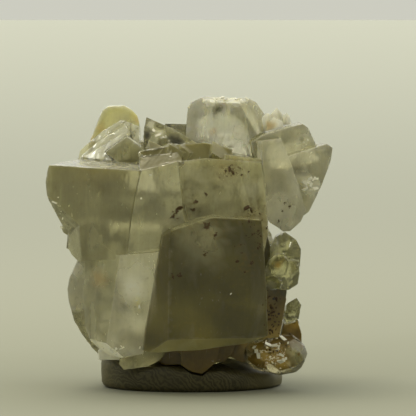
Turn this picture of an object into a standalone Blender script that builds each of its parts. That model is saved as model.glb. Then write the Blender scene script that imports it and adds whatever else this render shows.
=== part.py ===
"""A hand-sized specimen of calcite: flat-faced crystals grown into one another, with a few paler and
iron-stained crystals grown on them, held upright by a pressed lump of display putty.

Every crystal is the space inside its own flat faces. Crystals of one growth that overlap are joined in one
solid. A crystal of another growth is cut off where it meets the ones that were there before it, and keeps
a hair of room there. X runs to the right, Y to the back and Z up, and the origin is the middle of the
putty's flat foot. The sizes below are millimetres, and the meshes are made in metres.
"""

import math
import random

import bmesh
import bpy
from mathutils import Euler, Vector

MM = 0.001

# Driving dimensions
PUTTY_WIDTH = 47.6
PUTTY_DEPTH = 36.0
PUTTY_LEFT_HEIGHT = 7.6
PUTTY_RIGHT_HEIGHT = 3.4
PUTTY_MOUND = 3.6
JOINT_GAP = 0.3
BLANK_SIZE = 240.0
BACK_SMALL_COUNT = 18
BACK_SEED = 11
LEDGE_CRUMB_COUNT = 11
LEDGE_SEED = 4

# Calcite's cleavage rhomb: the angle between its long axis and the square to each face
RHOMB_FACE_ANGLE = math.radians(44.6)


def clear_scene():
    for old in list(bpy.data.objects):
        bpy.data.objects.remove(old, do_unlink=True)


def make_material(name, colour, roughness, metallic=0.0):
    material = bpy.data.materials.new(name)
    material.use_nodes = True
    shader = material.node_tree.nodes["Principled BSDF"]
    shader.inputs["Base Color"].default_value = (*colour, 1.0)
    shader.inputs["Roughness"].default_value = roughness
    shader.inputs["Metallic"].default_value = metallic
    material.diffuse_color = (*colour, 1.0)
    return material


# Crystals as lists of faces, each a point on the face and the direction that it looks in


def facing(yaw, pitch):
    """The direction a face looks in: straight to the front, turned right by yaw and up by pitch degrees."""
    yaw = math.radians(yaw)
    pitch = math.radians(pitch)
    return Vector(
        (math.sin(yaw) * math.cos(pitch), -math.cos(yaw) * math.cos(pitch), math.sin(pitch))
    )


def outward_plane(a, b, c, inside):
    """The face through three points, looking away from a point inside the crystal."""
    normal = (b - a).cross(c - a).normalized()
    if normal.dot(a - inside) < 0:
        normal.negate()
    return a, normal


def block(corners, near, far, yaw=0, pitch=0, drift=(0, 0), taper=0.9, bevels=(), end_cut=0.0):
    """A crystal drawn by its front outline, with flat sides that run back to a smaller or shifted end.

    corners  the outline, (x, z), in order
    near     how far back the middle of the front face lies, and far the same for the back face
    drift    how far the back end lies to the right and up of the front one
    taper    the back end's size over the front one's
    bevels   (start, end, turn): a face that leaves the front face along a line and turns back
    end_cut  how far the sloping faces round the back end reach down its sides
    """
    front = facing(yaw, pitch)
    middle = Vector((0, 0, 0))
    for x, z in corners:
        middle += Vector((x, near, z)) / len(corners)

    def on_front(x, z):
        aside = front.x * (x - middle.x) + front.z * (z - middle.z)
        return Vector((x, middle.y - aside / front.y, z))

    end = Vector((middle.x + drift[0], far, middle.z + drift[1]))
    inside = (middle + end) / 2
    rim = [on_front(x, z) for x, z in corners]
    away = Vector((0, 1, 0))
    faces = [(middle, front), (end, away)]
    for this, after in zip(rim, rim[1:] + rim[:1]):
        if abs(taper - 1) < 1e-6:
            beyond = this + (end - middle)
        else:
            beyond = middle + (end - middle) / (1 - taper)
        side = outward_plane(this, after, beyond, inside)
        faces.append(side)
        if end_cut > 0:
            reach = end_cut * (0.6 + 0.8 * abs(math.sin(this.x * 1.7 + this.z)))
            step = (far - reach - this.y) / (beyond.y - this.y)
            cut_at = this + (beyond - this) * step
            faces.append((cut_at, (side[1] + away).normalized()))
    for start, stop, turn in bevels:
        a = on_front(*start)
        b = on_front(*stop)
        outward = (b - a).cross(front).normalized()
        if outward.dot(a - middle) < 0:
            outward.negate()
        turn = math.radians(turn)
        faces.append((a, front * math.cos(turn) + outward * math.sin(turn)))
    return faces


def rhomb(centre, size, turn):
    """A cleavage rhomb, with the distances between its three pairs of faces, turned by three angles."""
    spin = Euler([math.radians(angle) for angle in turn]).to_matrix()
    faces = []
    for k, width in enumerate(size):
        around = math.radians(120 * k)
        tilt = RHOMB_FACE_ANGLE
        square = Vector(
            (math.sin(tilt) * math.cos(around), math.sin(tilt) * math.sin(around), math.cos(tilt))
        )
        square = spin @ square
        faces.append((Vector(centre) + square * width / 2, square))
        faces.append((Vector(centre) - square * width / 2, -square))
    return faces


def prism(foot, top, radius, spin=0, crown=0.75, crown_slope=45, sides=6):
    """A six-sided prism from foot to top, with a flat end whose edges are cut by sloping faces.

    crown        the flat end's width over the prism's
    crown_slope  how steeply the sloping faces leave the flat end, in degrees
    """
    foot = Vector(foot)
    top = Vector(top)
    axis = (top - foot).normalized()
    turn = axis.to_track_quat("Z", "Y")
    apothem = radius * math.cos(math.pi / sides)
    slope = math.radians(crown_slope)
    faces = [(top, axis), (foot, -axis)]
    for k in range(sides):
        around = math.radians(spin) + 2 * math.pi * k / sides
        outward = turn @ Vector((math.cos(around), math.sin(around), 0))
        faces.append((foot + outward * apothem, outward))
        if crown < 1:
            rim = top + outward * apothem * crown
            faces.append((rim, axis * math.cos(slope) + outward * math.sin(slope)))
    return faces


def nugget(centre, radii, count, turn=0.0):
    """A crystal rounded by many small faces, spread evenly over an egg shape."""
    faces = []
    golden = math.pi * (3 - math.sqrt(5))
    for k in range(count):
        height = 1 - 2 * (k + 0.5) / count
        ring = math.sqrt(1 - height * height)
        around = golden * k + turn
        square = Vector((ring * math.cos(around), ring * math.sin(around), height))
        touch = Vector([s * r for s, r in zip(square, radii)])
        normal = Vector([s / r for s, r in zip(square, radii)]).normalized()
        faces.append((Vector(centre) + touch, normal))
    return faces


def solid_mesh(name, faces, grow=0.0):
    """The mesh of the space inside a crystal's faces, each moved outwards by grow."""
    bm = bmesh.new()
    bmesh.ops.create_cube(bm, size=BLANK_SIZE * MM)
    for point, normal in faces:
        cut_at = (point + normal * grow) * MM
        everything = bm.verts[:] + bm.edges[:] + bm.faces[:]
        bmesh.ops.bisect_plane(
            bm, geom=everything, dist=1e-8, plane_co=cut_at, plane_no=normal, clear_outer=True
        )
        rim = [edge for edge in bm.edges if edge.is_boundary]
        if rim:
            bmesh.ops.contextual_create(bm, geom=rim)
    bmesh.ops.recalc_face_normals(bm, faces=bm.faces[:])
    mesh = bpy.data.meshes.new(name)
    bm.to_mesh(mesh)
    bm.free()
    return mesh


def crystal_object(name, faces, grow=0.0):
    obj = bpy.data.objects.new(name, solid_mesh(name, faces, grow))
    bpy.context.scene.collection.objects.link(obj)
    return obj


def near_each_other(mesh, other, room):
    """True if the boxes round two meshes come closer than room, in metres."""
    for axis in range(3):
        low = min(v.co[axis] for v in mesh.vertices) - room
        high = max(v.co[axis] for v in mesh.vertices) + room
        if all(v.co[axis] < low for v in other.vertices):
            return False
        if all(v.co[axis] > high for v in other.vertices):
            return False
    return True


def combine(obj, others, operation):
    """Joins the others to obj or cuts them from it, and removes them."""
    if not others:
        return
    group = bpy.data.collections.new("operands")
    bpy.context.scene.collection.children.link(group)
    for other in others:
        bpy.context.scene.collection.objects.unlink(other)
        group.objects.link(other)
    boolean = obj.modifiers.new("combine", "BOOLEAN")
    boolean.operation = operation
    boolean.operand_type = "COLLECTION"
    boolean.collection = group
    bpy.context.view_layer.update()
    graph = bpy.context.evaluated_depsgraph_get()
    made = bpy.data.meshes.new_from_object(obj.evaluated_get(graph))
    obj.modifiers.clear()
    obj.data = made
    for other in others:
        bpy.data.objects.remove(other, do_unlink=True)
    bpy.data.collections.remove(group)


def keep_largest_piece(mesh):
    """Drops the crumbs that a cut leaves beside the crystal."""
    bm = bmesh.new()
    bm.from_mesh(mesh)
    unseen = set(bm.verts)
    pieces = []
    while unseen:
        start = unseen.pop()
        piece = {start}
        front = [start]
        while front:
            for edge in front.pop().link_edges:
                for vert in edge.verts:
                    if vert in unseen:
                        unseen.remove(vert)
                        piece.add(vert)
                        front.append(vert)
        pieces.append(piece)
    pieces.sort(key=len)
    for piece in pieces[:-1]:
        bmesh.ops.delete(bm, geom=list(piece), context="VERTS")
    bm.to_mesh(mesh)
    bm.free()


def finish_object(obj, material):
    keep_largest_piece(obj.data)
    obj.data.materials.clear()
    obj.data.materials.append(material)
    obj.data.shade_flat()


def grow_node(name, crystals, material, already_there=()):
    """One node: its crystals joined in one solid, cut back where they meet those that are already there."""
    first, *rest = [crystal_object(f"{name}_{k}", faces) for k, faces in enumerate(crystals)]
    combine(first, rest, "UNION")
    cutters = []
    for k, faces in enumerate(already_there):
        cutter = crystal_object(f"cutter_{k}", faces, JOINT_GAP)
        if near_each_other(first.data, cutter.data, JOINT_GAP * MM):
            cutters.append(cutter)
        else:
            bpy.data.objects.remove(cutter, do_unlink=True)
    combine(first, cutters, "DIFFERENCE")
    first.name = name
    first.data.name = name
    finish_object(first, material)
    return first


# The main growth: large smoky crystals in one solid


def upper_left_crystals():
    """The broad crystal that points to the left, and the two that carry its front face on to the right."""
    broad = block(
        [(-35.9, 58.4), (-12.6, 57), (-14.1, 34.7), (-23.8, 34.4), (-30, 36.8), (-34.3, 42.4),
         (-36.2, 49.2), (-36.7, 54)],
        near=-20, far=15, drift=(14, 3), taper=0.9, end_cut=6,
        bevels=[((-35.7, 50), (-28.1, 43.1), 50)],
    )
    lower = block(
        [(-31.4, 41), (-27.9, 42.8), (-12.6, 42.8), (-13.1, 34.6), (-28.4, 33.6), (-30.4, 35.2),
         (-31.4, 36.7)],
        near=-20, far=12, drift=(1.5, 0), taper=0.9, end_cut=4,
        bevels=[((-28.1, 43.8), (-27.6, 33.6), 55)],
    )
    right = block(
        [(-12.3, 57.1), (-2.9, 59.3), (-0.9, 41.3), (-8, 35.9), (-15.9, 35), (-15.1, 43.1), (-13.8, 50.8)],
        near=-20.8, far=10, yaw=5, pitch=-1, taper=0.9,
        bevels=[((-15.9, 35.9), (-7.5, 37.2), 48)],
    )
    return [broad, lower, right]


def lower_right_crystal():
    """The dark block that stands nearest, with a bevelled left edge and underside."""
    return block(
        [(-6.7, 40.7), (-4.4, 42.1), (2.7, 44.6), (6.2, 45.4), (18.2, 44.7), (18.8, 38), (19.6, 27),
         (19.9, 15.3), (15.3, 13.2), (3, 11.2), (-8, 10.5), (-11.7, 10.8), (-11.3, 15)],
        near=-26, far=6, yaw=2, pitch=-1, drift=(-2, 2), taper=0.93, end_cut=7,
        bevels=[
            ((-4.9, 41.2), (-5.4, 14.8), 30),
            ((-8, 14.3), (19.4, 14.8), 38),
        ],
    )


def middle_crystals():
    """The crystals behind and above the dark block, with a broken ledge on top."""
    return [
        block(
            [(-10.1, 57.3), (-6, 58.8), (3.9, 60), (18.4, 59.1), (19.7, 49.4), (20, 40.4), (18.5, 33.5),
             (-10.1, 33.5)],
            near=-18.5, far=20, yaw=-2, pitch=2, drift=(1, -1), taper=0.88,
            bevels=[((12, 60), (16.5, 44), 20)],
        ),
        block(
            [(-12.9, 61.6), (-2.5, 63.4), (3.9, 63.8), (10.9, 62.1), (11.1, 57.5), (-10, 56)],
            near=-14, far=12, yaw=4, pitch=20, drift=(0, -1), taper=0.9,
        ),
        block(
            [(-12.8, 60.2), (-3, 61.4), (-1.5, 58.8), (-4, 56.5), (-12.6, 56.6)],
            near=-17.4, far=0, yaw=-8, pitch=40, taper=0.9,
        ),
        block(
            [(9, 61), (18.5, 59.6), (19.4, 50), (12, 48), (8, 54)],
            near=-17.2, far=2, yaw=10, pitch=10, taper=0.9,
        ),
        block(
            [(-24, 56), (15.5, 58), (21, 36), (20, 14.5), (2.5, 11), (-20, 12), (-25, 33)],
            near=-12, far=22, drift=(2, 1), taper=0.86, end_cut=5,
        ),
        block(
            [(17, 30), (25.3, 26.3), (24.8, 23.5), (24.3, 14), (17, 13)],
            near=-14.5, far=2, yaw=14, taper=0.85,
        ),
        block(
            [(-21.9, 61.1), (-16.2, 65.1), (-12.6, 62.2), (-13.1, 58.5), (-17.5, 57.4)],
            near=-5.5, far=8, yaw=16, pitch=-6, taper=0.8,
        ),
    ]


def left_steps():
    """Three broken steps down the left edge of the broad crystal."""
    return [
        block(
            [(-33.1, 42.5), (-32.4, 40.7), (-31.1, 40), (-28, 40), (-28, 43)],
            near=-15, far=-2, yaw=-30, pitch=4, taper=0.9,
        ),
        block(
            [(-31.4, 40.2), (-31.7, 36.6), (-30.1, 36.1), (-27.6, 36.1), (-27.6, 40.2)],
            near=-14, far=-3, yaw=-38, pitch=-5, taper=0.9,
        ),
        block(
            [(-30.4, 36.5), (-29.4, 34.4), (-28.1, 33.2), (-26.6, 33.2), (-26.6, 36.5)],
            near=-13, far=-3, yaw=-26, pitch=3, taper=0.9,
        ),
    ]


def lower_left_crystals():
    """The tapering crystal under the broad one: a bright front face and curving left sides."""
    body = block(
        [(-18, 35.5), (-7.3, 36.6), (-8.4, 22), (-11.7, 10.3), (-17.7, 9), (-21.2, 9.4), (-23.8, 10.8),
         (-26, 13), (-27.6, 16.3), (-28.4, 24), (-28.2, 34.6)],
        near=-20.5, far=10, yaw=-5, drift=(6, 1), taper=0.86, end_cut=5,
        bevels=[
            ((-17.9, 34.2), (-21, 14.6), 30),
            ((-27, 34.7), (-27.4, 16.3), 50),
            ((-23.6, 14.8), (-17.5, 9.9), 50),
        ],
    )
    outer_side = block(
        [(-27.5, 36.5), (-28.9, 33.5), (-30.9, 29.7), (-31.6, 26), (-31.2, 22), (-30, 18.7), (-25.6, 15.6),
         (-22, 23.3), (-23, 34.1)],
        near=-11, far=9, yaw=-24, drift=(3, 0), taper=0.82, end_cut=5,
    )
    foot = block(
        [(-30.5, 20.6), (-29.8, 18), (-28, 14.8), (-25.4, 11.2), (-23.3, 9.2), (-20, 7.8), (-18, 11),
         (-20, 16), (-24, 20.6)],
        near=-13, far=7, yaw=-12, pitch=-6, drift=(3, 1), taper=0.82, end_cut=4,
    )
    heel = block(
        [(-23.6, 10.6), (-23.2, 8.2), (-17.5, 8.2), (-16, 10), (-17.5, 12.4), (-22, 12.6)],
        near=-16.5, far=0, pitch=-12, yaw=-6, taper=0.85,
    )
    tip = block(
        [(-17.7, 10.4), (-12.7, 11.6), (-6.1, 10.2), (-7.6, 8.2), (-10.6, 6.6), (-16.8, 5.8), (-18.1, 7.3)],
        near=-17.8, far=4, pitch=-6, yaw=4, drift=(2, 2), taper=0.8,
    )
    return [body, outer_side, foot, heel, tip]


def right_leaning_crystals():
    """Three like crystals, one behind the other, that lean out to the upper right."""
    front = block(
        [(17.3, 64.2), (23.4, 64.9), (25.8, 59.3), (28, 52.9), (29.9, 46.3), (28.4, 43.3), (25.7, 41),
         (23.9, 41), (20.4, 43.4), (17.5, 51.6)],
        near=-13, far=10, yaw=8, pitch=3, drift=(-2, 1), taper=0.88, end_cut=6,
        bevels=[((18.3, 64.2), (20.1, 43.4), 28)],
    )
    upper = block(
        [(15.9, 63.6), (18.7, 65.4), (25.9, 67.5), (29.3, 68.3), (30.7, 67.3), (32.9, 62.6), (34, 57),
         (20.7, 55), (16.4, 60)],
        near=-4, far=13, yaw=10, pitch=2, drift=(-1, 1), taper=0.9, end_cut=4.5,
    )
    outer = block(
        [(24, 60), (32.7, 62.5), (35.4, 63.3), (36.9, 62.3), (36.4, 58.7), (34.1, 52.7), (32.3, 48.9),
         (30.7, 45.8), (27, 43), (23.5, 51.4)],
        near=-8.5, far=9, yaw=12, pitch=2, drift=(-2, 1), taper=0.88, end_cut=5,
    )
    return [front, upper, outer]


def top_shards():
    """The broken wedge on top of the ledge and the flat crystal behind it."""
    return [
        block(
            [(-12.8, 60), (-12.4, 65.2), (-11.4, 70), (-10.2, 69.5), (-4.4, 67), (2.8, 63), (2.6, 60)],
            near=0, far=6, yaw=-6, pitch=22, drift=(1, -3), taper=0.8,
            bevels=[((-12.5, 66.5), (-1, 62.8), 24)],
        ),
        block(
            [(-8.2, 61), (-6.6, 68.1), (-0.6, 67.9), (3, 63.7), (3, 60)],
            near=9, far=18, yaw=8, drift=(1, -2), taper=0.85, end_cut=3,
        ),
    ]


def back_crystals():
    """The side that faces away: rhombs and blunt prisms of the same growth, with small ones between."""
    crystals = [
        rhomb((8, 14, 42), (17, 15, 18), (24, 38, 52)),
        rhomb((-13, 13, 45), (16, 17, 15), (-18, 24, 10)),
        rhomb((1, 15, 27), (17, 15, 16), (48, -20, 80)),
        rhomb((-17, 8, 27), (13, 14, 13), (12, 52, 30)),
        rhomb((13, 9, 25), (12, 13, 12), (60, 10, -25)),
        rhomb((-2, 15, 53), (12, 11, 13), (32, 12, 24)),
        prism((-8, 10, 44), (-15, 21, 61), 6.2, spin=12, crown=0.7),
        prism((10, 8, 40), (19.5, 20, 55), 5.6, spin=25, crown=0.62),
        prism((-6, 8, 34), (-23, 21, 35), 5.2, spin=5, crown=0.6),
        prism((2, 12, 36), (11, 28, 33), 5.6, spin=40, crown=0.65),
        prism((-6, 10, 22), (-15, 23, 16), 4.8, spin=18, crown=0.6),
        prism((6, 8, 20), (13, 21, 15), 4.4, spin=33, crown=0.55),
    ]
    chance = random.Random(BACK_SEED)
    for _ in range(BACK_SMALL_COUNT):
        around = chance.uniform(0.08, 0.92) * math.pi
        height = chance.uniform(14, 56)
        size = chance.uniform(4, 8.5)
        centre = (math.cos(around) * 18 - 1, 8 + math.sin(around) * 13, height)
        turn = [chance.uniform(0, 90) for _ in range(3)]
        crystals.append(rhomb(centre, (size, size * chance.uniform(0.8, 1.1), size), turn))
    return crystals


def ledge_crumbs():
    """Small broken rhombs along the ledge on top."""
    chance = random.Random(LEDGE_SEED)
    crystals = []
    for k in range(LEDGE_CRUMB_COUNT):
        along = (k + 0.5) / LEDGE_CRUMB_COUNT
        size = chance.uniform(2.2, 4.4)
        centre = (-12 + 22 * along, chance.uniform(-14, -5), 60.6 + chance.uniform(-0.6, 0.5))
        turn = [chance.uniform(0, 90) for _ in range(3)]
        crystals.append(rhomb(centre, (size, size * 0.9, size * 1.1), turn))
    return crystals


def root_crystals():
    """The stubby crystals under the specimen that the putty grips."""
    return [
        rhomb((-6, 2, 11.5), (12, 14, 13), (15, 20, 35)),
        rhomb((9, 5, 11.5), (12, 11, 12), (-25, 12, 5)),
        rhomb((0, -5, 12), (11, 12, 12), (30, -18, 60)),
    ]


# The later growths


def pale_top_crystals():
    """A stout pale prism with a flat end and a broken shoulder, and the small clear crystals beside it."""
    stout = block(
        [(-1.7, 58), (-1.5, 66.6), (-1, 72.6), (0, 74), (3.7, 75.5), (15.8, 74.9), (17.6, 73.9),
         (19.7, 71), (20.6, 68), (20.4, 58)],
        near=-1.5, far=14, yaw=3, pitch=1, drift=(-0.5, 0), taper=0.86, end_cut=4,
        bevels=[
            ((5.7, 73.6), (6.3, 63.2), 42),
            ((12.5, 74.1), (17.7, 65.1), 38),
            ((1.8, 74), (12.5, 73.6), 66),
        ],
    )
    small = [
        block(
            [(18.7, 64), (18.7, 69.9), (19.8, 71.1), (21.3, 70.7), (21.6, 64)],
            near=0.5, far=6, yaw=-28, pitch=6, taper=0.9, end_cut=1.5,
            bevels=[((20.4, 71), (20.2, 64), 40)],
        ),
        block(
            [(20.8, 64), (21.1, 70.9), (22.7, 72.4), (24, 70.9), (24.5, 64)],
            near=2, far=7.5, yaw=24, pitch=3, taper=0.85, end_cut=1.5,
            bevels=[((22.4, 72.4), (22, 64), 38)],
        ),
        block(
            [(23.4, 64), (23.7, 70.2), (25.2, 71.1), (26, 70.2), (26.8, 67.1), (26.5, 64)],
            near=1, far=6.5, yaw=-16, pitch=12, taper=0.85, end_cut=1.5,
            bevels=[((25, 71), (25.4, 64), 42)],
        ),
        block(
            [(19.5, 64), (20, 68.7), (21.8, 70), (24.1, 69), (24.9, 64)],
            near=-1.5, far=3, yaw=8, pitch=22, taper=0.85,
            bevels=[((22.2, 70), (21.6, 64), 36)],
        ),
    ]
    return [stout, *small]


def lamellar_crystals():
    """A stack of plates that leans to the upper right: white in front, with a rounded yellow blade behind."""
    blade = block(
        [(-26.1, 58), (-26.1, 63.9), (-23, 71.7), (-21.4, 72.8), (-17.2, 73), (-15.3, 72), (-13.7, 70.4),
         (-13.2, 68.5), (-13.2, 60), (-15.7, 57)],
        near=3, far=8.5, yaw=-6, pitch=4, drift=(1, -1.5), taper=0.88,
    )
    plates = [
        block(
            [(-29.7, 57.5), (-28.6, 61.4), (-23.1, 66.1), (-17.9, 69.3), (-16.4, 68.9), (-15.3, 66.6),
             (-16.4, 57), (-23.4, 56.5)],
            near=0, far=3.5, yaw=-8, pitch=8, taper=0.97,
        ),
        block(
            [(-29, 57.5), (-28, 60.2), (-23.8, 63.8), (-16.7, 67.9), (-15.8, 66.4), (-16.3, 57)],
            near=-2.4, far=0.6, yaw=-10, pitch=10, taper=0.97,
        ),
        block(
            [(-27.9, 57.5), (-27, 60), (-23.3, 62.3), (-16.4, 66.4), (-15.8, 64.6), (-16.8, 57)],
            near=-4.4, far=-1.6, yaw=-12, pitch=13, taper=0.97,
        ),
    ]
    corner = block(
        [(-16.8, 69), (-13.3, 67.6), (-12.9, 61), (-16.6, 60)],
        near=-0.5, far=4, yaw=10, pitch=8, taper=0.9,
    )
    return [blade, *plates, corner]


def side_crystals():
    """The clear greenish crystals on the right side."""
    return [
        block(
            [(24.4, 41.2), (27.5, 39), (28.8, 36.4), (28.4, 32), (20.4, 31.6), (20.4, 36.9), (21.9, 39.8)],
            near=-15, far=2, yaw=12, pitch=6, taper=0.85, end_cut=4,
            bevels=[((25.4, 41.2), (26, 32), 26), ((20.6, 38.3), (28.6, 36), 16)],
        ),
        block(
            [(20.3, 34.5), (28.2, 33.7), (28.3, 30.4), (27.8, 27.6), (25.6, 26.2), (21, 26.3), (18.4, 27.8),
             (18.2, 29.9)],
            near=-17.5, far=0, yaw=8, pitch=-5, taper=0.85, end_cut=4,
            bevels=[((24.8, 35), (25.2, 26), 24), ((18, 30.6), (28, 29), 26)],
        ),
        block(
            [(20, 33.5), (21.5, 35.6), (24.1, 35.8), (25.6, 33.5), (24.6, 30.2), (21.5, 29.7)],
            near=-18.6, far=-8, yaw=-14, pitch=10, taper=0.75,
        ),
        block(
            [(18.2, 28.2), (19, 30), (21.5, 30.2), (23.8, 28.7), (23.1, 26.6), (21, 26.4)],
            near=-18.8, far=-8, yaw=-20, pitch=-16, taper=0.75,
        ),
    ]


def small_side_crystal():
    return [
        block(
            [(23.8, 21.2), (25.3, 22.7), (27.6, 24), (29, 22), (28.2, 18.2), (24.7, 17.4), (23.5, 19.2)],
            near=-12.5, far=-3, yaw=8, pitch=6, taper=0.75, end_cut=2.5,
            bevels=[((26, 23.7), (26.2, 17.6), 28)],
        )
    ]


def stained_nodule():
    """The rounded glassy crystal at the lower right, and the rusty crystals behind it."""
    return [
        nugget((23.3, -11.5, 9.3), (6.7, 6.2, 5.3), 40, 0.4),
        nugget((18.8, -12.5, 9.8), (4.6, 4.8, 4.5), 26, 1.1),
        block(
            [(20.6, 20.3), (23.9, 20.8), (27.8, 18.2), (28.9, 14.6), (29, 10.5), (20.1, 10)],
            near=-13, far=-1, yaw=8, pitch=4, taper=0.8, end_cut=3,
        ),
    ]


def underside_crystals():
    """The yellow crystals that hang between the dark block and the putty."""
    return [
        block(
            [(-2.5, 12), (8, 13), (7.2, 8), (5.2, 6.3), (3.5, 4.6), (0.5, 5.2), (-2.3, 7)],
            near=-18.5, far=-6, yaw=-3, pitch=-4, taper=0.8,
        ),
        block(
            [(6, 13), (12, 13), (11, 9.5), (8.8, 7.6), (5.8, 7.4)],
            near=-16.5, far=-6, yaw=8, pitch=-6, taper=0.8,
        ),
        block(
            [(9.5, 13.5), (17.5, 15), (17.4, 9.5), (17, 6.8), (13, 7.4), (10, 9)],
            near=-15, far=-5, yaw=6, pitch=-8, taper=0.8,
        ),
        block(
            [(-9, 12), (-1.5, 12.5), (-2.2, 6.8), (-6.5, 6.6), (-9, 8.5)],
            near=-15.5, far=-6, yaw=-8, pitch=-6, taper=0.8,
        ),
    ]


# The putty


def putty_mesh(name):
    """A lump pressed flat on the base: upright bulging sides, and a top that was pushed up into a low mound."""
    around_count = 72
    profile = [(0.93, 0.0), (0.975, 0.06), (0.995, 0.18), (1.0, 0.45), (1.0, 0.72), (0.99, 0.9), (0.96, 1.0)]
    inner_rings = [0.85, 0.7, 0.52, 0.34, 0.17]
    bm = bmesh.new()

    def outline(angle):
        lobes = 1 + 0.012 * math.sin(3 * angle + 0.6) + 0.01 * math.sin(5 * angle + 2.0)
        lobes += 0.008 * math.sin(11 * angle + 1.0)
        squareness = 0.99 + 0.03 * abs(math.sin(2 * angle))
        reach = lobes * squareness
        return (
            math.cos(angle) * PUTTY_WIDTH / 2 * reach,
            math.sin(angle) * PUTTY_DEPTH / 2 * reach,
        )

    def top_height(x, y, share):
        along = (x / PUTTY_WIDTH) + 0.5
        rim = PUTTY_LEFT_HEIGHT + (PUTTY_RIGHT_HEIGHT - PUTTY_LEFT_HEIGHT) * along
        mound = PUTTY_MOUND * (1 - share) ** 0.6 * (0.5 + along * 0.6)
        return rim + mound + 0.25 * math.sin(0.9 * x + 0.4) * math.cos(0.7 * y)

    def ring_of(points):
        return [bm.verts.new(point) for point in points]

    rings = []
    for share, height in profile:
        points = []
        for k in range(around_count):
            x, y = outline(2 * math.pi * k / around_count)
            points.append(Vector((x * share, y * share, height * top_height(x, y, share))) * MM)
        rings.append(ring_of(points))
    for share in inner_rings:
        points = []
        for k in range(around_count):
            x, y = outline(2 * math.pi * k / around_count)
            x *= share
            y *= share
            points.append(Vector((x, y, top_height(x, y, share))) * MM)
        rings.append(ring_of(points))
    for lower, upper in zip(rings, rings[1:]):
        for k in range(around_count):
            after = (k + 1) % around_count
            bm.faces.new((lower[k], lower[after], upper[after], upper[k]))
    bm.faces.new(list(reversed(rings[0])))
    peak = bm.verts.new(Vector((0, 0, top_height(0, 0, 0))) * MM)
    for k in range(around_count):
        bm.faces.new((rings[-1][k], rings[-1][(k + 1) % around_count], peak))
    bmesh.ops.recalc_face_normals(bm, faces=bm.faces[:])
    mesh = bpy.data.meshes.new(name)
    bm.to_mesh(mesh)
    bm.free()
    return mesh


def press_putty(crystals, material):
    """The putty, dented by every crystal that stands in it."""
    putty = bpy.data.objects.new("mounting_putty", putty_mesh("mounting_putty"))
    bpy.context.scene.collection.objects.link(putty)
    cutters = []
    for k, faces in enumerate(crystals):
        cutter = crystal_object(f"dent_{k}", faces, JOINT_GAP)
        if near_each_other(putty.data, cutter.data, JOINT_GAP * MM):
            cutters.append(cutter)
        else:
            bpy.data.objects.remove(cutter, do_unlink=True)
    combine(putty, cutters, "DIFFERENCE")
    finish_object(putty, material)
    return putty


def main():
    clear_scene()
    smoky = make_material("smoky_calcite", (0.27, 0.25, 0.14), 0.15)
    pale = make_material("pale_calcite", (0.55, 0.54, 0.42), 0.2)
    yellow = make_material("yellow_lamellar_calcite", (0.5, 0.46, 0.2), 0.3)
    clear = make_material("clear_green_calcite", (0.38, 0.38, 0.28), 0.1)
    rusty = make_material("iron_stained_calcite", (0.28, 0.19, 0.05), 0.2)
    grey = make_material("grey_putty", (0.06, 0.055, 0.035), 0.5)

    main_growth = [
        lower_right_crystal(),
        *upper_left_crystals(),
        *middle_crystals(),
        *left_steps(),
        *lower_left_crystals(),
        *right_leaning_crystals(),
        *top_shards(),
        *ledge_crumbs(),
        *back_crystals(),
        *root_crystals(),
    ]
    grow_node("calcite_cluster", main_growth, smoky)
    there = list(main_growth)
    for name, crystals, material in (
        ("pale_top_crystals", pale_top_crystals(), pale),
        ("lamellar_crystals", lamellar_crystals(), yellow),
        ("side_crystals", side_crystals(), clear),
        ("small_side_crystal", small_side_crystal(), clear),
        ("stained_nodule", stained_nodule(), rusty),
        ("underside_crystals", underside_crystals(), rusty),
    ):
        grow_node(name, crystals, material, there)
        there += crystals
    press_putty(there, grey)


main()
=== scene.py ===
"""The looks of a smoky calcite specimen on its lump of display putty."""

import math
import random

import bmesh
import bpy
from mathutils import Matrix, Vector, noise
from mathutils.bvhtree import BVHTree
from mathutils.kdtree import KDTree


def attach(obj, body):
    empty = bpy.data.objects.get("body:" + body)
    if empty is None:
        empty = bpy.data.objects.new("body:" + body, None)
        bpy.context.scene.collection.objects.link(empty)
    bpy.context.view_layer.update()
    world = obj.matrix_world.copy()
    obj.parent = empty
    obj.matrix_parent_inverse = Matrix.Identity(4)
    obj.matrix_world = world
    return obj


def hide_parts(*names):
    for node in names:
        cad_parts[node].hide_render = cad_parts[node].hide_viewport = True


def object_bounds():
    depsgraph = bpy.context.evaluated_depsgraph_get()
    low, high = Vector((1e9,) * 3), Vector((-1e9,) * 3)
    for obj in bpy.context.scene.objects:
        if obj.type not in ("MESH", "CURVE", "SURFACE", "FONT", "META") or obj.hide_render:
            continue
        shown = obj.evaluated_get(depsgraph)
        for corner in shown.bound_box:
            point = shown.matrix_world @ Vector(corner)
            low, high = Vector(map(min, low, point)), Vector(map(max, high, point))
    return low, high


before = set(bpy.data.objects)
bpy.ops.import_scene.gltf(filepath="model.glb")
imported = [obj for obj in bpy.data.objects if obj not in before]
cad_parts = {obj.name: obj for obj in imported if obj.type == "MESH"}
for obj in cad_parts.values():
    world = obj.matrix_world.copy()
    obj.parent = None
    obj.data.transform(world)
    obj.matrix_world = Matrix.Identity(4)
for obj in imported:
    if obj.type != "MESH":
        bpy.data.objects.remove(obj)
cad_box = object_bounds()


# The camera and the place it stands in
# The specimen stands on plain pale paper, painted with shade: deeper in tone round it and paler far
# behind it. The room is bright above and behind, and dark and warm in front, so the light comes through
# the crystals to the eye.


def linear(code):
    """An sRGB hex colour as the linear red, green, blue and alpha that Blender's sockets take."""
    channels = []
    for k in (1, 3, 5):
        value = int(code[k:k + 2], 16) / 255
        if value <= 0.04045:
            channels.append(value / 12.92)
        else:
            channels.append(((value + 0.055) / 1.055) ** 2.4)
    return (*channels, 1.0)


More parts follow.
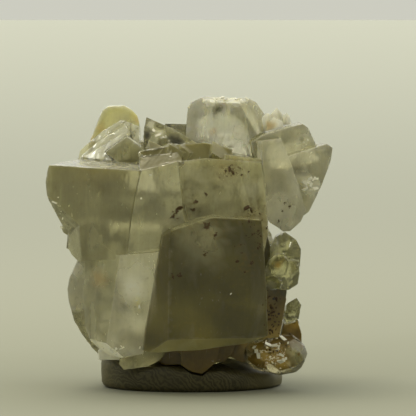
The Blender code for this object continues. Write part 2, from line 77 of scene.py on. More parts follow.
def add(tree, kind, inputs=None, **settings):
    """Adds a node with its settings; an input given as another node's output is linked to it."""
    made = tree.nodes.new("ShaderNode" + kind)
    for name, value in settings.items():
        setattr(made, name, value)
    for name, value in (inputs or {}).items():
        socket = made.inputs[name]
        if isinstance(value, bpy.types.NodeSocket):
            tree.links.new(value, socket)
        else:
            socket.default_value = value
    return made


def new_material(name):
    material = bpy.data.materials.new(name)
    material.use_nodes = True
    material.node_tree.nodes.clear()
    return material, material.node_tree


def show(name, mesh):
    """An object for a mesh, in the scene."""
    made = bpy.data.objects.new(name, mesh)
    bpy.context.scene.collection.objects.link(made)
    return made


def mesh_from(name, bm):
    mesh = bpy.data.meshes.new(name)
    bm.to_mesh(mesh)
    bm.free()
    return mesh


# matt paper: a rough surface with no shine, which spreads the light evenly; its colour holds painted shade,
# darker near the specimen and paler far off, and is halfway from the near to the far tone where it is as
# far from the specimen as the camera is
camera_distance = 0.9
floor_radius = 60.0
paper, tree = new_material("matt_pale_paper")
place = add(tree, "TexCoord").outputs["Object"]
reach = add(tree, "VectorMath", {0: place}, operation="LENGTH")
beyond = add(tree, "Math", {0: reach.outputs["Value"], 1: camera_distance}, operation="ADD")
far_away = add(tree, "Math", {0: reach.outputs["Value"], 1: beyond.outputs[0]}, operation="DIVIDE")
paper_with_painted_shade = add(tree, "Mix", {
    "Factor": far_away.outputs[0], "A": linear("#8e9085"), "B": linear("#dadcd8"),
}, data_type="RGBA")
surface = add(tree, "BsdfPrincipled", {
    "Base Color": paper_with_painted_shade.outputs["Result"],
    "Roughness": 0.95,
    "Specular IOR Level": 0.1,
})
add(tree, "OutputMaterial", {"Surface": surface.outputs[0]})

bm = bmesh.new()
bmesh.ops.create_circle(bm, cap_ends=True, segments=128, radius=floor_radius)
floor_mesh = mesh_from("paper_sweep", bm)
floor_mesh.materials.append(paper)
floor = show("paper_sweep", floor_mesh)

# a soft room: its light depends on the direction alone, warm and dim in front, white and strong above
world = bpy.data.worlds.new("soft_room")
bpy.context.scene.world = world
world.use_nodes = True
tree = world.node_tree
tree.nodes.clear()
direction = add(tree, "TexCoord").outputs["Generated"]
parts = add(tree, "SeparateXYZ", {0: direction})
behind = add(tree, "MapRange", {
    "Value": parts.outputs["Y"], "From Min": -0.75, "From Max": 0.45, "To Min": 0.3, "To Max": 1.0,
}, interpolation_type="SMOOTHSTEP")
above = add(tree, "MapRange", {
    "Value": parts.outputs["Z"], "From Min": 0.02, "From Max": 0.9, "To Min": 0.9, "To Max": 2.5,
})
light = add(tree, "Math", {0: behind.outputs[0], 1: above.outputs[0]}, operation="MULTIPLY")
walls = add(tree, "Mix", {
    "Factor": behind.outputs[0], "A": linear("#c4bb84"), "B": linear("#d6d6c9"),
}, data_type="RGBA")
room = add(tree, "Background", {"Color": walls.outputs["Result"], "Strength": light.outputs[0]})
add(tree, "OutputWorld", {"Surface": room.outputs[0]})


def softbox(name, place, aim, size, power, colour):
    """A square diffused lamp, turned to face a point."""
    lamp = bpy.data.lights.new(name, "AREA")
    lamp.shape = "RECTANGLE"
    lamp.size = size[0]
    lamp.size_y = size[1]
    lamp.energy = power
    lamp.color = linear(colour)[:3]
    holder = bpy.data.objects.new(name, lamp)
    holder.location = place
    holder.rotation_euler = (Vector(aim) - Vector(place)).to_track_quat("-Z", "Y").to_euler()
    bpy.context.scene.collection.objects.link(holder)


softbox("overhead_softbox", (-0.15, 0.1, 0.6), (0, 0, 0.04), (0.4, 0.3), 1.6, "#fff5d6")
softbox("left_lamp", (-0.55, -0.75, 0.45), (0, 0, 0.04), (0.12, 0.12), 1.0, "#fbfcf4")
softbox("right_lamp", (0.6, -0.5, 0.5), (0, 0, 0.04), (0.08, 0.08), 0.5, "#fbfcf4")

# the camera looks a little down at the specimen, and its picture is 108 mm wide there
view_height = math.radians(3.2)
view_width = 0.10816
film_width = 36
aim = Vector((0.0047, 0, 0.0463))
stand = aim + camera_distance * Vector((0, -math.cos(view_height), math.sin(view_height)))
camera = bpy.data.cameras.new("camera")
camera.sensor_width = film_width
camera.lens = film_width * camera_distance / view_width
camera.clip_start = 0.01
holder = bpy.data.objects.new("camera", camera)
holder.location = stand
holder.rotation_euler = (aim - stand).to_track_quat("-Z", "Y").to_euler()
bpy.context.scene.collection.objects.link(holder)
bpy.context.scene.camera = holder
bpy.context.scene.view_settings.view_transform = "Standard"
bpy.context.scene.cycles.use_denoising = True


# The main cluster of smoky calcite
# Large crystals grown into one another. Calcite is a soft clear mineral; here it is smoky and cloudy
# inside, so light goes in and comes out olive, and each face has its own tone, which is partly its own
# colour and partly painted light and shade. The edges are worn and nicked.

# a millimetre in metres; a pattern's scale is given as its steps in a millimetre over this
MM = 0.001

# the tones that calcite takes in this specimen: the colour of its body, and how clear it is from 0 to 1;
# they are partly the calcite's own colours and partly painted light and shade, lighter or darker for the
# way the light falls on a face
calcite_tones_and_painted_light = {
    "smoky": ("#c0bd98", 0.75),
    "ledge": ("#868055", 0.55),
    "light_smoke": ("#c4c2a2", 0.74),
    "dull_smoke": ("#d6d5ba", 0.74),
    "deep_smoke": ("#453f10", 0.55),
    "dim_edge": ("#4c4514", 0.55),
    "underside": ("#6e683c", 0.6),
    "milky": ("#f1efda", 0.71),
    # painted highlight: a pale cream for bright spots where the light falls
    "cream": ("#faf8e8", 0.35),
    "grey_clear": ("#cecdae", 0.84),
    "greenish": ("#b7b585", 0.86),
    "clear": ("#f0efdf", 0.97),
    "pale": ("#ebead6", 0.75),
    # painted light: an icy tone for faces that are lit from above or through
    "ice": ("#f3f3ea", 0.76),
    "tan": ("#9a8a4a", 0.5),
    "rust": ("#624d04", 0.2),
    "gold": ("#c4a244", 0.4),
    "orange": ("#c8a052", 0.5),
    "yellow": ("#ebdf8c", 0.4),
    "yellow_green": ("#d9d6a4", 0.62),
    "shadow": ("#4a4526", 0.6),
    # painted reflection: near black, for the dark room reflected in the wedge
    "black": ("#0c0c08", 0.3),
}


def nearest_tone(place, direction, tones, usual):
    """The tone whose place, in mm, and direction are nearest to a face's own, if they are near enough."""
    near_enough = 2.2
    one_step_apart = 11
    turn_weight = 3.0
    best = usual
    lowest = near_enough
    for tone_place, tone_direction, tone in tones:
        apart = (place - Vector(tone_place)).length / one_step_apart
        turned = turn_weight * (1 - direction.dot(Vector(tone_direction).normalized()))
        if apart + turned < lowest:
            lowest = apart + turned
            best = tone
    return best


weld_distance = 0.06 * MM
sharp_edge = math.radians(16)


def edge_points(bm):
    """A tree of points, 0.3 mm apart at most, along the sharp outer edges of a solid."""
    spacing = 0.0003
    points = []
    for edge in bm.edges:
        if edge.is_manifold and edge.calc_face_angle_signed() > sharp_edge:
            start, end = (vert.co for vert in edge.verts)
            count = max(1, int((end - start).length / spacing))
            points += [start.lerp(end, k / count) for k in range(count + 1)]
    tree = KDTree(max(1, len(points)))
    for k, point in enumerate(points):
        tree.insert(point, k)
    tree.balance()
    return tree


def refine(bm, step, rounds=7, most_faces=90000):
    """Halves the edges longer than step, round after round, so that a flat face can wave."""
    bmesh.ops.triangulate(bm, faces=bm.faces[:])
    for _ in range(rounds):
        long_edges = [edge for edge in bm.edges if edge.calc_length() > step]
        if not long_edges or len(bm.faces) > most_faces:
            break
        bmesh.ops.subdivide_edges(bm, edges=long_edges, cuts=1)
        bmesh.ops.triangulate(bm, faces=[face for face in bm.faces if len(face.verts) > 3])


def weathered(
    node, name, usual, tones=(), patches=(), stains=(), edge=0.2, step=1.0, waves=0.05, nicks=0.25
):
    """A copy of a node's solid as the real crystal is, with its worn edges, wavy faces, and tones that are
    partly painted light and shade.

    usual    the tone of a face that no other tone is near to
    tones    (place, direction, tone) for the faces that have another tone
    patches  (place, radius, tone, strength) for soft patches of a tone on any face, among them painted
    highlights and reflections
    stains   (place, radius, strength) for where iron grains sit
    edge     how far the sharp edges are worn back, and step, waves and nicks the longest mesh edge, the
             depth of a face's waves and the depth of the nicks in the edges, all in mm like the places
    """
    bm = bmesh.new()
    bm.from_mesh(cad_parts[node].data)
    bmesh.ops.remove_doubles(bm, verts=bm.verts[:], dist=weld_distance)
    flat = math.radians(0.8)
    bmesh.ops.dissolve_limit(
        bm, angle_limit=flat, verts=bm.verts[:], edges=bm.edges[:], use_dissolve_boundaries=False
    )
    bmesh.ops.recalc_face_normals(bm, faces=bm.faces[:])
    names = sorted(calcite_tones_and_painted_light)
    number = bm.faces.layers.int.new("tone_number")
    for face in bm.faces:
        tone = nearest_tone(face.calc_center_median() / MM, face.normal, tones, usual)
        face[number] = names.index(tone)
    edges_tree = edge_points(bm)
    before = BVHTree.FromBMesh(bm)
    worn = [e for e in bm.edges if e.is_manifold and e.calc_face_angle() > sharp_edge]
    bmesh.ops.bevel(
        bm, geom=worn, offset=edge * MM, offset_type="OFFSET", segments=2, profile=0.5, affect="EDGES",
        clamp_overlap=False, loop_slide=True,
    )
    # where two worn edges run together the new corner can fly off, so it goes back to the solid's surface
    for vert in bm.verts:
        surface_point, _, _, distance = before.find_nearest(vert.co)
        if distance > edge * MM:
            vert.co = surface_point
    refine(bm, step * MM)
    bm.normal_update()

    # waves about 6 mm and 2 mm long and chips about 1.2 mm across, as noise steps in a metre; the waves go
    # inwards, and the chips bite near a worn edge, up to worn_width mm from it
    long_waves = 170
    short_waves = 460
    chip_steps = 800
    worn_width = 0.9
    wear = bm.verts.layers.float.new("edge_wear")
    iron = bm.verts.layers.float.new("iron_stain")
    moved = []
    for vert in bm.verts:
        place = vert.co.copy()
        distance = edges_tree.find(place)[2] / MM
        worn_here = max(0.0, 1 - distance / worn_width)
        vert[wear] = worn_here
        for centre, radius, strength in stains:
            away = (place / MM - Vector(centre)).length / radius
            if away < 1:
                vert[iron] = max(vert[iron], strength * (1 - away * away))
        swell = 0.7 * noise.noise(place * long_waves) + 0.3 * noise.noise(place * short_waves)
        chip = max(0.0, noise.noise(place * chip_steps) - 0.1)
        depth = waves * (0.6 + swell) + nicks * chip * min(1.0, worn_here * 1.5)
        moved.append(place - vert.normal * depth * MM)

    # a patch fades out towards its rim, and its rim is ragged by noise of about 2 mm
    raggedness = 0.4
    ragged_steps = 0.55
    # each corner keeps its tone, painted light and shade included, in a colour attribute
    colour = bm.loops.layers.float_color.new("tone_and_painted_light")
    for face in bm.faces:
        code, clear = calcite_tones_and_painted_light[names[face[number]]]
        for corner in face.loops:
            tone = Vector((*linear(code)[:3], clear))
            place = corner.vert.co / MM
            for centre, radius, patch, strength in patches:
                away = (place - Vector(centre)).length / radius
                away += raggedness * noise.noise(place * ragged_steps)
                if 0 <= away < 1:
                    patch_code, patch_clear = calcite_tones_and_painted_light[patch]
                    patch_tone = Vector((*linear(patch_code)[:3], patch_clear))
                    share = strength * (1 - away * away) ** 1.5
                    tone = tone.lerp(patch_tone, share)
            corner[colour] = tone
    for vert, place in zip(bm.verts, moved):
        vert.co = place
    bm.normal_update()
    smooth_up_to = math.radians(14)
    for face in bm.faces:
        face.smooth = True
    for e in bm.edges:
        e.smooth = e.is_manifold and e.calc_face_angle() < smooth_up_to
    return show(name, mesh_from(name, bm))


def calcite(name, cloud, veil_share, tint, density, glow=0.6, coat=0.5):
    """Calcite with clouds of `cloud` mm and pale veils inside it, and a body colour, partly painted light
    and shade, kept in the tone attribute.

    A natural face is smooth but not polished, so what shows through a cloudy crystal is blurred, while
    the thin wet-looking shine on it stays crisp. The clearer the crystal, the sharper what shows through
    it. Its veils and worn edges are paler and less clear, iron grains are brown, and the body glows with
    the light that gets inside.

    veil_share      how much of the body's colour a veil covers where the stone is clear
    tint, density   the colour that the light takes on inside, and how fast
    glow, coat      how much light is scattered inside, and how strong the shine on top is
    """
    material, tree = new_material(name)
    place = add(tree, "TexCoord").outputs["Object"]
    tone = add(tree, "Attribute", attribute_name="tone_and_painted_light", attribute_type="GEOMETRY")
    wear = add(tree, "Attribute", attribute_name="edge_wear", attribute_type="GEOMETRY")
    iron = add(tree, "Attribute", attribute_name="iron_stain", attribute_type="GEOMETRY")

    clouds = add(tree, "TexNoise", {
        "Vector": place,
        "Scale": 1 / (cloud * MM),
        "Detail": 6.0,
        "Roughness": 0.62,
        "Distortion": 0.3,
    })
    cloud_share = add(tree, "MapRange", {
        "Value": clouds.outputs["Fac"], "From Min": 0.3, "From Max": 0.7, "To Min": 0.78, "To Max": 1.22,
    })
    # striations: fine lines about 0.3 mm wide and 5 mm long, left by the crystal's growth
    lined = add(tree, "Mapping", {"Vector": place, "Rotation": (0.1, 0.3, 0.0), "Scale": (1.0, 1.0, 0.07)})
    striations = add(tree, "TexNoise", {"Vector": lined.outputs[0], "Scale": 1.5 / MM, "Detail": 2.0})
    striation = add(tree, "MapRange", {
        "Value": striations.outputs["Fac"],
        "From Min": 0.3,
        "From Max": 0.7,
        "To Min": 0.96,
        "To Max": 1.04,
    })
    shares = add(tree, "Math", {0: cloud_share.outputs[0], 1: striation.outputs[0]}, operation="MULTIPLY")
    body = add(tree, "VectorMath", {
        0: tone.outputs["Color"], "Scale": shares.outputs[0],
    }, operation="SCALE")

    # veils: healed cracks about 6 mm across and longer than wide, that drift through the crystal
    stretched = add(tree, "Mapping", {
        "Vector": place, "Rotation": (0.5, 0.75, 0.2), "Scale": (1.0, 1.0, 0.4),
    })
    veils = add(tree, "TexNoise", {
        "Vector": stretched.outputs[0], "Scale": 0.16 / MM, "Detail": 9.0, "Distortion": 0.5,
    })
    # dark and stained stone, which is less clear, shows fewer of them
    most_veil = add(tree, "MapRange", {
        "Value": tone.outputs["Alpha"],
        "From Min": 0.5,
        "From Max": 0.72,
        "To Min": 0.06,
        "To Max": veil_share,
    })
    veil = add(tree, "MapRange", {
        "Value": veils.outputs["Fac"], "From Min": 0.5, "From Max": 0.75, "To Max": most_veil.outputs[0],
    }, interpolation_type="SMOOTHSTEP")
    veiled = add(tree, "Mix", {
        "Factor": veil.outputs[0], "A": body.outputs[0], "B": linear("#cfccae"),
    }, data_type="RGBA")

    # bright little cracks about 0.4 mm wide, crowded together where the clouds are thick
    chips = add(tree, "TexNoise", {
        "Vector": stretched.outputs[0], "Scale": 1.5 / MM, "Detail": 2.0, "Distortion": 1.0,
    })
    crowd = add(tree, "MapRange", {
        "Value": clouds.outputs["Fac"], "From Min": 0.45, "From Max": 0.75, "To Max": 0.2,
    })
    chipped = add(tree, "Math", {0: chips.outputs["Fac"], 1: crowd.outputs[0]}, operation="ADD")
    crack = add(tree, "MapRange", {
        "Value": chipped.outputs[0], "From Min": 0.76, "From Max": 0.9, "To Max": 0.4,
    })
    split = add(tree, "Mix", {
        "Factor": crack.outputs[0], "A": veiled.outputs["Result"], "B": linear("#dddbc0"),
    }, data_type="RGBA")

    # worn edges: bruised white here and there, in stretches about 2 mm long
    bruises = add(tree, "TexNoise", {"Vector": place, "Scale": 0.45 / MM, "Detail": 5.0})
    bruised = add(tree, "Math", {0: bruises.outputs["Fac"], 1: wear.outputs["Fac"]}, operation="MULTIPLY")
    bruise = add(tree, "MapRange", {
        "Value": bruised.outputs[0], "From Min": 0.3, "From Max": 0.75, "To Max": 0.22,
    })
    edged = add(tree, "Mix", {
        "Factor": bruise.outputs[0], "A": split.outputs["Result"], "B": linear("#c6c3a4"),
    }, data_type="RGBA")

    # iron: brown grains about 0.8 mm across in a thinner yellow-brown stain
    grains = add(tree, "TexNoise", {"Vector": place, "Scale": 0.9 / MM, "Detail": 1.0})
    iron_here = add(tree, "Math", {
        0: iron.outputs["Fac"], 1: 0.42, 2: grains.outputs["Fac"],
    }, operation="MULTIPLY_ADD")
    grain = add(tree, "MapRange", {"Value": iron_here.outputs[0], "From Min": 0.98, "From Max": 1.04})
    thin = add(tree, "MapRange", {
        "Value": iron_here.outputs[0], "From Min": 0.62, "From Max": 1.02, "To Max": 0.55,
    })
    stained = add(tree, "Mix", {
        "Factor": thin.outputs[0], "A": edged.outputs["Result"], "B": linear("#6c540c"),
    }, data_type="RGBA")
    grained = add(tree, "Mix", {
        "Factor": grain.outputs[0], "A": stained.outputs["Result"], "B": linear("#2a1a08"),
    }, data_type="RGBA")

    # veils, cracks, bruises and grains let less light through
    cloudy = add(tree, "Math", {0: veil.outputs[0], 1: crack.outputs[0]}, operation="MAXIMUM")
    dim = add(tree, "Math", {0: cloudy.outputs[0], 1: bruise.outputs[0]}, operation="MAXIMUM")
    dimmer = add(tree, "Math", {0: dim.outputs[0], 1: grain.outputs[0]}, operation="MAXIMUM")
    open_share = add(tree, "Math", {0: 1.0, 1: dimmer.outputs[0]}, operation="SUBTRACT")
    clear = add(tree, "Math", {0: tone.outputs["Alpha"], 1: open_share.outputs[0]}, operation="MULTIPLY")

    # growth lines about 2.5 mm apart, and a fine unevenness of the natural face; a wave pattern has three
    # bands to a step
    lines = add(tree, "TexWave", {
        "Vector": stretched.outputs[0],
        "Scale": 0.31 / MM,
        "Distortion": 3.0,
        "Detail": 2.0,
        "Detail Scale": 2.0,
    }, bands_direction="Z")
    unevenness = add(tree, "TexNoise", {"Vector": place, "Scale": 1.5 / MM, "Detail": 3.0})
    heights = add(tree, "Math", {
        0: lines.outputs["Fac"], 1: 0.3, 2: unevenness.outputs["Fac"],
    }, operation="MULTIPLY_ADD")
    ribbed = add(tree, "Math", {0: heights.outputs[0], 1: striations.outputs["Fac"]}, operation="ADD")
    relief = add(tree, "Bump", {"Height": ribbed.outputs[0], "Strength": 0.4, "Distance": 0.1 * MM})

    # what shows through is blurred in cloudy stone and sharp in clear stone
    rough = add(tree, "MapRange", {
        "Value": clear.outputs[0], "From Min": 0.6, "From Max": 0.9, "To Min": 0.3, "To Max": 0.04,
    })
    surface = add(tree, "BsdfPrincipled", {
        "Base Color": grained.outputs["Result"],
        "Roughness": rough.outputs[0],
        "IOR": 1.55,
        "Transmission Weight": clear.outputs[0],
        "Subsurface Weight": glow,
        "Subsurface Radius": (1.0, 0.95, 0.7),
        "Subsurface Scale": 8 * MM,
        "Coat Weight": coat,
        "Coat Roughness": 0.05,
        "Normal": relief.outputs[0],
    })
    inside = add(tree, "VolumeAbsorption", {"Color": linear(tint), "Density": density})
    add(tree, "OutputMaterial", {"Surface": surface.outputs[0], "Volume": inside.outputs[0]})
    return material


def place_piece(piece, node, material):
    """Gives a piece its material and lets it stand for its node."""
    piece.data.materials.clear()
    piece.data.materials.append(material)
    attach(piece, "root")
    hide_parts(node)


# the faces of the cluster: a place on each in mm, where it looks, and its tone, which is partly painted
# light and shade
cluster_tones = [
    # the broad crystal that points left, its ribbed lower left side and its top
    ((-23, -20, 47), (0, -1, 0), "smoky"),
    ((-32, -18, 45), (-0.5, -0.65, -0.56), "grey_clear"),
    ((-29, -18, 39), (-0.8, -0.57, 0), "grey_clear"),
    # painted light: the top is given the icy tone, as if lit from above
    ((-18, -6, 58.4), (0, 0, 1), "ice"),
    # the one beside it
    ((-8.9, -20.7, 45.6), (0.09, -1, 0), "light_smoke"),
    ((-11, -20, 35.8), (0, -0.75, -0.66), "pale"),
    # above the dark block
    ((2.5, -18.2, 53.8), (0, -1, 0), "smoky"),
    ((15, -18, 50), (0.3, -1, 0), "smoky"),
    ((-6.3, -16.2, 60.2), (-0.1, -0.76, 0.64), "ledge"),
    ((-3.7, -15.3, 61.5), (-0.1, -0.99, 0.13), "ledge"),
    ((-5, -14.7, 60.7), (0.07, -0.94, 0.34), "ledge"),
    ((0, -12, 61.5), (0, -0.4, 0.9), "ledge"),
    ((9, -13.7, 61.2), (0.53, -0.64, 0.56), "ledge"),
    ((-17, -5, 61), (0.27, -0.95, -0.1), "light_smoke"),
    # the dark block
    ((8.9, -26, 32), (0.03, -1, 0), "deep_smoke"),
    ((-8.4, -24.6, 22), (-0.47, -0.88, 0), "dim_edge"),
    ((2.2, -24.3, 12.6), (0, -0.78, -0.63), "underside"),
    ((12.8, -21.6, 45), (0, 0, 1), "smoky"),
    ((-8.5, -21.7, 31), (-1, 0, 0.2), "dim_edge"),
    ((18.5, -18, 30), (1, 0, 0), "deep_smoke"),
    ((20.4, -14.8, 20.7), (0.24, -0.97, 0), "deep_smoke"),
    # the lower left
    ((-14.3, -21, 22.7), (-0.09, -1, 0), "milky"),
    ((-21.8, -18.6, 28), (-0.57, -0.82, 0.08), "dull_smoke"),
    ((-26, -15, 26), (-0.75, -0.65, 0), "light_smoke"),
    ((-29, -10.5, 26), (-0.41, -0.91, 0), "milky"),
    ((-26, -12.8, 15), (-0.2, -0.97, -0.1), "grey_clear"),
    ((-20.5, -18, 12), (-0.3, -0.7, -0.6), "cream"),
    ((-12, -17.5, 8.5), (0.05, -1, -0.1), "light_smoke"),
    # the three that lean to the upper right
    ((23.3, -13.2, 50), (0.14, -0.99, 0.05), "milky"),
    ((18.9, -12.5, 52), (-0.3, -0.95, 0.05), "pale"),
    ((25, -4, 61), (0.17, -0.98, 0), "pale"),
    ((31.2, -8.5, 54.8), (0.2, -0.98, 0), "pale"),
    # the wedge and the plate on top
    ((-6, -0.5, 64), (-0.1, -0.9, 0.4), "grey_clear"),
    ((-1.9, 9, 64.3), (0.14, -0.99, 0), "clear"),
]
# soft patches on them: the middle in mm, the radius, the tone and its strength; the cream patches are
# painted highlights and the black ones on the wedge painted dark reflections
cluster_patches = [
    ((-22.7, -20, 57), 9, "tan", 0.35),
    # painted highlight: a cream patch on the left edge, where the light catches it
    ((-34.5, -18, 48.8), 2.4, "cream", 0.8),
    ((-10.3, -20.6, 53), 4.5, "pale", 0.7),
    ((-14, -21, 28), 6.5, "cream", 0.9),
    ((-12.9, -20.8, 22.5), 1.8, "yellow", 0.9),
    ((-23.3, -18.3, 29), 3.4, "orange", 0.6),
    ((-19.8, -19.6, 28), 3.4, "dim_edge", 0.6),
    ((2.7, -26, 40.5), 8, "smoky", 0.6),
    ((9, -18, 57.5), 5, "tan", 0.5),
    ((15.9, -18, 52), 3.2, "pale", 0.7),
    ((22, -13, 46), 7, "cream", 0.4),
    ((29, -4, 64), 4, "cream", 0.4),
    # painted reflection: black patches on the wedge for the dark room seen in it
    ((-11.2, 1, 65), 2.6, "black", 1.0),
    ((-4.4, -0.2, 64), 2.8, "black", 1.0),
    ((-2.6, -0.6, 63.4), 2.6, "black", 1.0),
    # painted highlight: cream patches on the wedge
    ((-7.8, 0.4, 65.3), 1.9, "cream", 0.95),
    ((-10.1, 1.7, 68), 1.6, "cream", 0.9),
    ((-29, -10, 31), 3, "cream", 0.5),
    # painted highlight: cream patches on the leaning crystal at the right
    ((29.1, -9, 54.2), 2.4, "cream", 0.9),
    ((31.4, -8.5, 52.6), 3.2, "cream", 0.9),
    ((28, -9, 57.9), 4, "shadow", 0.6),
    ((17.2, -20, 42), 6, "tan", 0.6),
    ((21, -14.8, 20), 7.5, "rust", 0.9),
    ((21.5, -14.7, 13.8), 4, "gold", 0.7),
]
# where iron came in: the middle in mm, the radius and the strength
cluster_stains = [
    ((17, -19, 43), 7.5, 0.85),
    ((-1, -18.5, 47.5), 6, 0.45),
    ((11, -17, 57.5), 6, 0.6),
    ((21.5, -15, 21), 7.5, 0.95),
    ((14, -25, 34), 5, 0.45),
    ((4.7, -26, 41), 6, 0.5),
]

# smoky calcite, natural growth faces: a thin glassy shine on top, cloudy and olive inside
smoky = calcite("smoky_calcite_natural_faces", 9.0, 0.3, "#cbc38e", 15.0, coat=0.2)
cluster = weathered(
    "calcite_cluster", "smoky_cluster", "smoky", cluster_tones, cluster_patches, cluster_stains, edge=0.2
)
place_piece(cluster, "calcite_cluster", smoky)


# The pale crystals on top
# A later growth of paler calcite: a stout crystal with a flat end, and a few small clear ones beside it.
# They are cloudy white inside with a faint warm tinge, and stand in full light from above.

# their tones and patches, written as the cluster's are; the icy front faces are painted lighter as if lit
# through, and the cream tone and patches are painted highlights
pale_tones = [
    ((2, 0, 67), (-0.7, -0.7, 0), "ice"),
    ((11, -1.5, 66), (0.05, -1, 0), "ice"),
    ((17, 0, 68), (0.6, -0.8, 0.1), "milky"),
    ((8, 4, 75), (0, -0.2, 1), "pale"),
    ((23, 2, 68), (0, -1, 0.2), "cream"),
]
pale_patches = [
    ((13, -1.4, 65.9), 2.4, "cream", 0.9),
    ((13.8, -1.3, 69), 1.6, "smoky", 0.7),
    ((15, -1.3, 67.8), 1.6, "smoky", 0.7),
    ((16.1, -1.2, 66.6), 1.6, "smoky", 0.7),
    ((6.5, -1.6, 71.6), 1.3, "shadow", 0.9),
    ((7.9, -1.5, 72.4), 1.3, "shadow", 0.9),
    ((6, -1.5, 66.1), 1.6, "orange", 0.5),
    # painted highlight: cream patches along the top of the stout crystal's flat end
    ((5, -1, 74.3), 2.2, "cream", 0.8),
    ((11.7, 0, 74.4), 3, "cream", 0.8),
    ((20.5, -0.6, 67.4), 2.2, "orange", 0.85),
]
# pale calcite, natural growth faces: milky, so it glows evenly where the light from above gets in
pale = calcite("pale_cloudy_calcite", 6.0, 0.5, "#e6e2c4", 14.0, glow=0.9)
pale_top = weathered(
    "pale_top_crystals", "pale_crystals", "milky", pale_tones, pale_patches, edge=0.18, step=0.8
)
place_piece(pale_top, "pale_top_crystals", pale)


# The leaning plates
# Thin plates of calcite grown one on another, white where they break, in front of a rounded yellow blade.
# They grew on the top of the main cluster, at its left.

plate_tones = [
    ((-20, 3, 68), (-0.1, -1, 0.07), "yellow_green"),
    ((-22, 0, 64), (-0.14, -0.98, 0.14), "pale"),
    ((-22, -3, 62), (-0.2, -0.95, 0.2), "pale"),
    ((-14.8, -0.5, 65), (0.17, -0.98, 0.14), "milky"),
]
plate_patches = [
    ((-14.3, 2.8, 70.6), 2.4, "yellow", 0.85),
    ((-17, 3, 70), 3, "greenish", 0.7),
    ((-25.6, 3, 63.5), 2.6, "orange", 0.75),
    ((-23.4, 3, 67), 2, "orange", 0.5),
    ((-13.6, 2.8, 69), 1.6, "orange", 0.7),
    ((-27, 1, 61), 3, "yellow_green", 0.6),
]
# calcite in thin plates, broken across: silky white in places, with small clouds and a yellow light inside
lamellar = calcite("lamellar_calcite_broken_plates", 3.0, 0.5, "#dcd69c", 14.0, glow=0.9)
plates = weathered(
    "lamellar_crystals", "leaning_plates", "milky", plate_tones, plate_patches,
    edge=0.1, step=0.7, waves=0.12,
)
place_piece(plates, "lamellar_crystals", lamellar)


# The clear crystals on the right side
# Two glassy greenish crystals and a small one below them, of a clearer growth of calcite than the main
# cluster's. They grew on its right side.

side_patches = [
    ((22.6, -18, 32.7), 1.6, "gold", 0.8),
    ((24.5, -17.6, 34.2), 1.7, "gold", 0.8),
    ((26.2, -17, 35.6), 1.6, "gold", 0.8),
    # painted highlight: a cream patch low on the crystals
    ((20, -18, 27.5), 2.4, "cream", 0.6),
    ((21.5, -17, 37), 2.6, "milky", 0.6),
]
# clear greenish calcite, natural growth faces: glassy, and what is behind it shows through
clear_greenish = calcite("clear_greenish_calcite", 5.0, 0.5, "#c8c69c", 12.0)
for node, name in (("side_crystals", "clear_side_crystals"), ("small_side_crystal", "clear_small_crystal")):
    side = weathered(node, name, "greenish", (), side_patches, edge=0.25, step=0.6, waves=0.15)
    place_piece(side, node, clear_greenish)


# The stained crystals low on the right and under the dark block
# Calcite that iron from the rock has stained yellow-brown: a rounded glassy nodule full of bright flakes
# and crumbs, with rusty crystals behind it and under the block. They grew on the cluster's underside.

stained_tones = [
    ((24, -12, 17), (0.1, -1, 0.1), "rust"),
]
nodule_stains = [
    ((22, -16, 12), 6, 0.7),
]
nodule_patches = [
    ((20.8, -17.2, 10), 4.2, "gold", 0.8),
    ((23.5, -17.5, 8), 3, "gold", 0.6),
    ((15.5, -15.5, 12), 3, "gold", 0.8),
    ((19.4, -16, 13.6), 3.2, "rust", 0.95),
    ((24.5, -13.1, 14.6), 3.4, "rust", 0.9),
    ((26.6, -12.6, 17.5), 3, "gold", 0.5),
    ((27.7, -16, 9.5), 4, "greenish", 0.9),
]
# iron-stained calcite: amber to rust brown, with a weak shine, and it keeps most of the light that gets in
stained_calcite = calcite("iron_stained_calcite", 3.0, 0.4, "#c09a3c", 40.0, coat=0.15)
for node, name, usual in (
    ("stained_nodule", "glassy_nodule", "grey_clear"),
    ("underside_crystals", "yellow_underside_crystals", "rust"),
):
    stained = weathered(
        node, name, usual, stained_tones, nodule_patches, nodule_stains, edge=0.3, step=0.6, waves=0.2
    )
    place_piece(stained, node, stained_calcite)


# Flakes and grains on the crystals
# Dark iron grains grew with the crystals and sit half in their faces, and gold-brown crumbs cover the
# nodule. Cleavage flakes stand up where the calcite was knocked or broken, and flash white; their white
# body is partly painted highlight, set where glints show.


def front_surface(piece):
    """Gives a function that finds where a line from the front, at x and z in mm, meets a piece.

    What it gives is the place and the facing there, or None twice where the line passes by.
    """
    in_front = -100
    mesh = piece.data
    mesh.calc_loop_triangles()
    points = [vert.co for vert in mesh.vertices]
    tree = BVHTree.FromPolygons(points, [tuple(tri.vertices) for tri in mesh.loop_triangles])

    def meet(x, z):
        start = Vector((x * MM, in_front * MM, z * MM))
        place, facing, _, _ = tree.ray_cast(start, Vector((0, 1, 0)))
        return place, facing

    return meet


